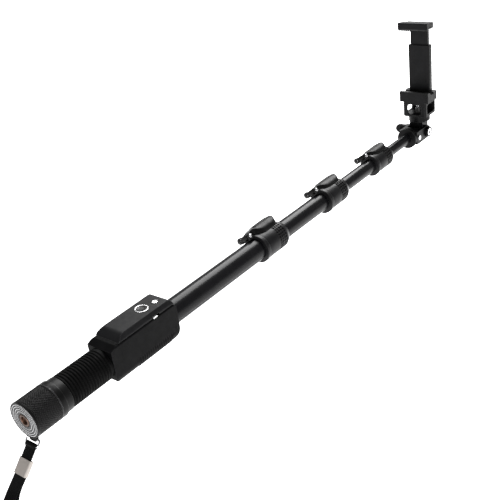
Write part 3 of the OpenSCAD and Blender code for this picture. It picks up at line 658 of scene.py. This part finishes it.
def add_buttons():
    """Dished shutter button in its bright ring, and the domed pairing button."""
    low, high = span("shutter_button")
    x, r = (low.x + high.x) / 2, 4.4
    dish = rounded([(low.z, 0), (low.z, r + 0.8), (low.z + 4, r + 0.8), (low.z + 4, r),
                    (high.z, r), (high.z - 0.1, r - 1), (high.z - 0.45, r / 2),
                    (high.z - 0.5, 0)], 0.3)
    turned("shutter_button_dished", dish, "shutter_button", "button_plastic", along_z(x, 0),
           steps=64, stands_for=["shutter_button"])
    ring_top = span("shutter_ring")[1].z
    ring = rounded([(ring_top - 0.8, r + 0.2), (ring_top, r + 0.2), (ring_top, r + 1.2),
                    (ring_top - 0.8, r + 1.2)], 0.3, closed=True)
    turned("shutter_ring_polished", ring, "handle", "bright_metal", along_z(x, 0), steps=72,
           closed=True, stands_for=["shutter_ring"])
    low, high = span("pair_button")
    x, y, r = (low.x + high.x) / 2, (low.y + high.y) / 2, 2.4
    dome = rounded([(low.z, 0), (low.z, r), (high.z, r), (high.z, r - 0.9), (high.z - 0.3, r - 1.1),
                    (high.z - 0.3, 0)], 0.25)
    turned("pair_button_domed", dome, "pair_button", "button_metal", along_z(x, y), steps=48,
           stands_for=["pair_button"])


def add_handle():
    add_cap()
    add_disc()
    add_bushing()
    add_grip()
    add_housing()
    add_buttons()
    cad_shell("remote_cover", "cover_plastic", 0.4)
    cad_shell("power_switch", "bright_metal", 0.15)
    cad_shell("housing_screws", "bright_metal", 0.12)
    dress("tube_plug", "nylon")
    dress("remote_tray", "nylon")
    dress("circuit_board", "board")
    dress("coin_cell", "bright_metal")


add_handle()


# ---- telescope ----

GROOVE_TURN = math.radians(112)  # from +Z towards -Y
GROOVE_R = 1.6
GROOVE_DEPTH = 0.35
GROOVE_REACH = 1.2
TUBE_WALL = 0.6


def tube_angles(r):
    """Even steps around a tube, with close ones across its groove."""
    reach = GROOVE_REACH / r
    angles = [2 * math.pi * k / 96 for k in range(96)]
    angles = [a for a in angles if abs(a - GROOVE_TURN) > reach]
    return sorted(angles + [GROOVE_TURN + reach * k / 8 for k in range(-8, 9)])


def tube_radius(r, angle):
    """Radius of a tube, less where the round groove cuts into it."""
    centre = r + GROOVE_R - GROOVE_DEPTH
    offset = angle - GROOVE_TURN
    under = GROOVE_R ** 2 - (centre * math.sin(offset)) ** 2
    if under <= 0 or abs(offset) > 1:
        return r
    return min(r, centre * math.cos(offset) - math.sqrt(under))


def add_tube(node):
    low, high = span(node)
    r = high.y
    angles = tube_angles(r)
    soft = 0.25
    rows = [(low.x + soft, -TUBE_WALL), (low.x, -TUBE_WALL + 0.2), (low.x, -soft),
            (low.x + soft, 0), (high.x - soft, 0), (high.x, -soft), (high.x, -TUBE_WALL + 0.2),
            (high.x - soft, -TUBE_WALL)]
    verts = []
    for x, inset in rows:
        for angle in angles:
            radius = tube_radius(r, angle) + inset
            verts.append((x, -radius * math.sin(angle), radius * math.cos(angle)))
    faces = band_faces(len(rows), len(angles), close_rows=True)
    piece(node + "_grooved", verts, faces, body_of(node), "anodised_tube", stands_for=[node],
          sharp=30)


LOCK_L = 37
LOCK_LEAN = math.radians(34)
LOCK_TUBES = {1: ("outer_tube", "second_tube"), 2: ("second_tube", "third_tube"),
              3: ("third_tube", "inner_tube")}
RIM_RISE = 0.5
HINGE_BACK = 3.5
HINGE_UP = 0.7
HUB_R = 2.9
HUB_W = 8
HUB_BORE = 1.35
EAR_W = 1.9
EAR_GAP = 0.3


def lock_place(number):
    """A lock's frame, X from the collar's rear rim and Z to the lever, and the collar's radius."""
    low, high = span(f"lock_{number}_collar")
    place = Matrix.Translation((high.x - LOCK_L, 0, 0)) @ Matrix.Rotation(-LOCK_LEAN, 4, "X")
    return place, -low.y - RIM_RISE


def add_collar(number):
    """Collar with a grid of square dimples and two ears for the lever's hinge."""
    place, r = lock_place(number)
    node = f"lock_{number}_collar"
    rear_tube, front_tube = LOCK_TUBES[number]
    bore_rear = span(rear_tube)[1].y
    bore_front = span(front_tube)[1].y + 0.05
    cell, cell_steps, dimple_half, dimple_depth = 2.8, 12, 0.34, 0.9
    count = round(2 * math.pi * r / cell)
    grid_start, grid_rows = 20, 4
    grid_end = grid_start + grid_rows * cell

    def dimples(along, radius, angle):
        if radius < r - 0.01 or not grid_start < along < grid_end:
            return 0
        across = (angle * count / (2 * math.pi)) % 1
        down = ((along - grid_start) / cell) % 1
        inside = abs(across - 0.5) < dimple_half and abs(down - 0.5) < dimple_half
        return -dimple_depth if inside else 0

    fine = cell / cell_steps
    wall = [(grid_start + fine * k, r) for k in range(grid_rows * cell_steps + 1)]
    rim = rounded([(0, bore_rear), (0, r + RIM_RISE), (4, r + RIM_RISE), (4.4, r - 0.25),
                   (5.2, r)], 0.45)
    nose = rounded([(LOCK_L - 5.2, r), (LOCK_L - 4.8, r), (LOCK_L, r - 2),
                    (LOCK_L, bore_front)], 0.7)
    step_x = 18
    inside = [(step_x, bore_front), (step_x, bore_rear)]
    turned(node + "_dimpled", rim + wall + nose + inside, body_of(node), "lock_plastic", place,
           steps=count * cell_steps, relief=dimples, closed=True, stands_for=[node], sharp=28)
    hinge, ear_r = (-HINGE_BACK, r + HINGE_UP), 2.5
    outline = arc(hinge, ear_r, -10, 180, 16)
    outline += [(-HINGE_BACK - ear_r, r - 2.6), (0.9, r - 2.6), (0.9, r - 0.3)]
    for side, name in ((-1, "near"), (1, "far")):
        inner = side * (HUB_W / 2 + EAR_GAP)
        outer = inner + side * EAR_W
        plate(f"lock_{number}_ear_{name}", outline, min(inner, outer), max(inner, outer), "y",
              body_of(node), "lock_plastic", place, bevel=0.35)


LEVER_RISE = {1: 6.4, 2: 4.9, 3: 4.2}  # by the number of the lock
LEVER_L = LOCK_L - 1
LEVER_HALF = 10
LEVER_BACK_R = 11
BEAD_PITCH = 2
BEAD_ROWS = 3
BEAD_RISE = 0.55


def between(x, stops):
    """Value at x on the straight lines through the stops (x, value)."""
    for (x0, v0), (x1, v1) in zip(stops, stops[1:]):
        if x <= x1:
            return v0 + (v1 - v0) * (x - x0) / (x1 - x0)
    return stops[-1][1]


def lever_half_width(x):
    tip = LEVER_L - LEVER_HALF
    if x > tip:
        return math.sqrt(max(0.2, LEVER_HALF ** 2 - (x - tip) ** 2))
    return between(x, [(-HINGE_BACK, 4), (1.6, 4), (4, 6.3), (7, 8.6), (10, 9.5), (13, 10),
                       (tip, LEVER_HALF)])


def lever_top(x, y, w, r, rise):
    """Height of the lever's crowned back, with rounded edges and beaded ribs."""
    crown = between(x, [(-HINGE_BACK, 3.6 / rise), (0, 0.7), (4, 0.77), (8, 0.84), (13, 0.94),
                        (18, 1), (24, 1), (30, 0.97), (33.5, 0.88), (LEVER_L, 0.76)])
    z = min(r + rise * crown, r + rise - LEVER_BACK_R + math.sqrt(LEVER_BACK_R ** 2 - y ** 2))
    edge, fillet = w - abs(y), 0.9
    if edge < fillet:
        z -= fillet - math.sqrt(fillet ** 2 - (fillet - edge) ** 2)
    if 8 < x < LEVER_L - 2.5 and edge > 1.5:
        bead = 0.65 + 0.35 * math.sin(2 * math.pi * x / BEAD_PITCH)
        z += BEAD_RISE * bead * max(0, math.cos(2 * math.pi * y / BEAD_ROWS))
    return z


def lever_under(x, y, r):
    """Height of the underside: it follows the collar, with a finger hollow at the tip."""
    if x < -0.4:
        return r + HINGE_UP
    z = math.sqrt((r + RIM_RISE + 0.3) ** 2 - y ** 2)
    if x > LEVER_L - 1.4:
        z = max(z, r + 1 + math.sqrt(2.4 ** 2 - (x - LEVER_L - 1) ** 2))
    return z


def add_lever(number):
    """Flip lever: a closed sheet from its crowned back to its underside, and a hub on the pin."""
    place, r = lock_place(number)
    rise = LEVER_RISE[number]
    node = f"lock_{number}_lever"
    body = body_of(node)
    start = HUB_BORE + 0.25 - HINGE_BACK
    xs = [start + (LEVER_L - start) * k / 150 for k in range(147)]
    xs += [LEVER_L - 0.7, LEVER_L - 0.4, LEVER_L - 0.15, LEVER_L]
    shares = [-1, -0.995, -0.98, -0.955, -0.925]
    shares += [-0.9 + 1.8 * k / 60 for k in range(61)] + [-s for s in reversed(shares)]
    top, under = [], []
    for x in xs:
        w = lever_half_width(x)
        for share in shares:
            y = share * w
            low = lever_under(x, y, r)
            top.append((x, y, max(low + 0.3, lever_top(x, y, w, r, rise))))
            under.append((x, y, low))
    rows, columns = len(xs), len(shares)
    total = rows * columns
    sheet = band_faces(rows, columns, close_columns=False)
    faces = sheet + [tuple(total + i for i in reversed(f)) for f in sheet]
    border = [i * columns for i in range(rows)]
    border += [(rows - 1) * columns + k for k in range(1, columns)]
    border += [i * columns + columns - 1 for i in range(rows - 2, -1, -1)]
    border += list(range(columns - 2, 0, -1))
    for a, b in zip(border, border[1:] + border[:1]):
        faces.append((a, b, total + b, total + a))
    piece(node + "_leaf", top + under, faces, body, "lever_plastic", place, stands_for=[node],
          sharp=50)
    half = HUB_W / 2
    hub = rounded([(-half, HUB_BORE), (-half, HUB_R), (half, HUB_R), (half, HUB_BORE)], 0.4,
                  closed=True)
    turned(node + "_hub", hub, body, "lever_plastic", place @ along_y(-HINGE_BACK, r + HINGE_UP),
           steps=48, closed=True)


def add_pin(number):
    """Hinge pin with a domed head on the near side and a knurled thumb nut on the far side."""
    place, r = lock_place(number)
    node = f"lock_{number}_pin"
    axis = place @ along_y(-HINGE_BACK, r + HINGE_UP)
    half = HUB_W / 2 + EAR_GAP + EAR_W
    shaft_r = 1.25
    pin = rounded([(-half - 1.2, 0), (-half - 1.1, 0.8), (-half - 0.6, 1.7), (-half, 1.9),
                   (-half, shaft_r), (half + 1, shaft_r), (half + 1, 0)], 0.2)
    turned(node + "_rivet", pin, body_of(node), "bright_metal", axis, steps=40, stands_for=[node])

    def grip(along, radius, angle):
        if radius <= 2.9 or not half + 1 < along < half + 3.8:
            return 0
        return 0.16 * math.sin(16 * angle)

    nut = rounded([(half + 0.5, 0), (half + 0.5, 3.2), (half + 4.2, 3.2), (half + 4.2, 1.6),
                   (half + 3.9, 1.4), (half + 3.9, 0)], 0.45)
    turned(node + "_nut", nut, body_of(node), "black_metal", axis, steps=96, relief=grip)
    washer = rounded([(half, 1.3), (half, 2.4), (half + 0.5, 2.4), (half + 0.5, 1.3)], 0.1,
                     closed=True)
    turned(node + "_washer", washer, body_of(node), "bright_metal", axis, steps=40, closed=True)


def add_telescope():
    for node in ("outer_tube", "second_tube", "third_tube", "inner_tube"):
        add_tube(node)
    for node in ("second_tube_bush", "third_tube_bush", "inner_tube_bush"):
        dress(node, "nylon")
    for number in (1, 2, 3):
        add_collar(number)
        add_lever(number)
        add_pin(number)
        dress(f"lock_{number}_brake", "nylon")


add_telescope()


# ---- head ----

def add_head():
    bolt_low, bolt_high = span("tilt_bolt")
    tilt_x = (bolt_low.x + bolt_high.x) / 2
    cheek_y = -11.5
    cad_shell("head_socket", "head_plastic", 0.5)
    cad_shell("tilt_block", "head_plastic", 0.45)
    cad_shell("wing_knob", "head_plastic", 0.7)
    cad_shell("tilt_bolt", "bright_metal", 0.4)
    cad_shell("socket_screw", "bright_metal", 0.3)
    cad_shell("platform_pad", "soft_pad", 0.15)
    rim = rounded([(cheek_y - 3.4, 4.8), (cheek_y - 3.4, 5.9), (cheek_y + 0.2, 6.2),
                   (cheek_y + 0.2, 4.8)], 0.5, closed=True)
    turned("tilt_bolt_rim", rim, "tube_4", "head_plastic", along_y(tilt_x, 0), closed=True)
    washer = rounded([(-cheek_y, 2.6), (-cheek_y + 0.25, 2.6), (-cheek_y + 0.25, 6.8),
                      (-cheek_y, 6.8)], 0.08, closed=True)
    turned("wing_washer", washer, "tube_4", "bright_metal", along_y(tilt_x, 0), closed=True)


def add_mount_screw():
    """Quarter-inch screw and its knurled lock nut."""
    low, high = span("mount_screw")
    x, y, r = (low.x + high.x) / 2, (low.y + high.y) / 2, (high.x - low.x) / 2
    start, length = low.z + 9, high.z - 1.2 - low.z - 9
    rows = int(length / THREAD_ROW)
    profile = [(low.z, 0), (low.z, r), (start, r)]
    profile += [(start + length * k / rows, r) for k in range(1, rows + 1)]
    profile += [(high.z, 2.3), (high.z, 0)]
    wave = thread(0.45)

    def screw_thread(along, radius, angle):
        return wave(along, radius, angle) - 0.25 if start < along < high.z - 1 else 0

    turned("mount_screw_threaded", profile, body_of("mount_screw"), "bright_metal", along_z(x, y),
           steps=48, relief=screw_thread, stands_for=["mount_screw"])
    low, high = span("lock_nut")
    flange = low.z + 2.4

    def knurl(along, radius, angle):
        return 0.2 * math.sin(26 * angle) - 0.2 if radius > 5.1 else 0

    nut = rounded([(low.z, r + 0.1), (low.z, 5.2), (flange, 5.2), (flange, 4), (high.z, 4),
                   (high.z, r + 0.1)], 0.3, closed=True)
    turned("lock_nut_knurled", nut, "lock_nut", "black_metal", along_z(x, y), steps=156,
           relief=knurl, closed=True, stands_for=["lock_nut"])


add_head()
add_mount_screw()


# ---- clamp ----

def teeth_outline(half_w, base, tip, pitch):
    """Row of rounded teeth from base to tip, closed along the base."""
    root, steps = 0.45, 8
    last = int(2 * half_w / pitch) * steps
    outline = []
    for k in range(last + 1):
        share = root + (1 - root) * abs(math.sin(math.pi * k / steps))
        outline.append((-half_w + 2 * half_w * k / last, base + (tip - base) * share))
    return outline + [(half_w, base), (-half_w, base)]


def add_jaw_grips():
    """Ribbed rubber pads on both jaws, and a row of teeth along each jaw's lip."""
    for node, face, back in (("lower_pad", 1, 0), ("upper_pad", 0, 1)):
        low, high = span(node)
        levels = (low.z, high.z)
        outline = teeth_outline(high.y - 0.3, levels[back], levels[face], 1.9)
        plate(node + "_ribbed", outline, low.x + 0.1, high.x - 0.1, "x", body_of(node),
              "soft_pad", stands_for=[node])
    half, pitch = 17.2, 2.1
    jaw_x = span("upper_jaw")[0].x
    lip_z = span("upper_pad")[0].z - 3
    outline = teeth_outline(half, lip_z + 0.6, lip_z - 0.9, pitch)
    plate("upper_lip_teeth", outline, jaw_x + 1.3, jaw_x + 3.6, "x", "upper_jaw", "soft_pad")
    jaw_x = span("clamp_base")[0].x
    lip_z = span("lower_pad")[1].z + 2
    outline = teeth_outline(half, lip_z - 0.6, lip_z + 0.5, pitch)
    plate("lower_lip_teeth", outline, jaw_x + 0.4, jaw_x + 3.3, "x", "clamp", "soft_pad")


def add_springs():
    """Two wound springs, each with closed ends."""
    low, high = span("jaw_springs")
    x, wire, turns, around, sides = (low.x + high.x) / 2, 0.3, 26, 14, 6
    coil = (high.x - low.x) / 2 - wire - 0.05
    end = 0.4
    verts, faces = [], []
    for y in (-5, 5):
        start = len(verts)
        count = turns * around + 1
        for k in range(count):
            a = 2 * math.pi * k / around
            centre = Vector((x + coil * math.cos(a), y + coil * math.sin(a),
                             low.z + end + (high.z - low.z - 2 * end) * k / (count - 1)))
            outward = Vector((math.cos(a), math.sin(a), 0))
            for s in range(sides):
                b = 2 * math.pi * s / sides
                rise = Vector((0, 0, wire * math.sin(b)))
                verts.append(centre + outward * wire * math.cos(b) + rise)
        faces += [tuple(start + i for i in f) for f in band_faces(count, sides)]
        faces.append(tuple(range(start, start + sides)))
        faces.append(tuple(range(len(verts) - sides, len(verts))))
    springs = piece("jaw_springs_coiled", verts, faces, "clamp", "spring_steel",
                    stands_for=["jaw_springs"])
    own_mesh(springs)


def add_clamp():
    cad_shell("clamp_base", "clamp_plastic", 0.45, join=False)
    cad_shell("back_channel", "clamp_plastic", 0.4)
    cad_shell("upper_jaw", "clamp_plastic", 0.5)
    cad_shell("jaw_tongue", "clamp_plastic", 0.3)
    cad_shell("clamp_screws", "bright_metal", 0.2)
    add_jaw_grips()
    add_springs()


add_clamp()


# ---- stage and light ----

FLOOR_HALF = 15
FLOOR_Z = -0.32
FLOOR_GLOW = 0.75


def add_floor():
    """A wide white floor well below the hanging strap, with a glow like a light table's."""
    half, z = FLOOR_HALF, FLOOR_Z
    mesh = bpy.data.meshes.new("floor")
    mesh.from_pydata([(-half, -half, z), (half, -half, z), (half, half, z), (-half, half, z)], [],
                     [(0, 1, 2, 3)])
    paint = surface("floor", (0.9, 0.9, 0.9), (0.94, 0.94, 0.94), (0.7, 0.8), cloud=3, grain=400,
                    specular=0.1)
    shader = paint.node_tree.nodes["Principled BSDF"]
    shader.inputs["Emission Color"].default_value = (1, 1, 1, 1)
    shader.inputs["Emission Strength"].default_value = FLOOR_GLOW
    mesh.materials.append(paint)
    floor = bpy.data.objects.new("floor", mesh)
    bpy.context.collection.objects.link(floor)


def area_light(name, at, aim, size, watts):
    data = bpy.data.lights.new(name, "AREA")
    data.shape = "RECTANGLE"
    data.size, data.size_y = size
    data.energy = watts
    lamp = bpy.data.objects.new(name, data)
    lamp.location = at
    lamp.rotation_euler = (Vector(aim) - Vector(at)).to_track_quat("-Z", "Y").to_euler()
    bpy.context.collection.objects.link(lamp)


def add_light():
    area_light("key", (1.7, 0.55, 1.2), (1.7, 0.55, 0), (1.8, 1.3), 80)
    area_light("side", (-1.3, -0.7, 0.1), (0.1, 0, 0), (0.7, 0.7), 10)
    world = bpy.data.worlds.new("world")
    bpy.context.scene.world = world
    world.use_nodes = True
    background = world.node_tree.nodes["Background"]
    background.inputs["Color"].default_value = (1, 1, 1, 1)
    background.inputs["Strength"].default_value = 0.3
    bpy.context.scene.view_settings.view_transform = "Standard"


add_floor()
add_light()
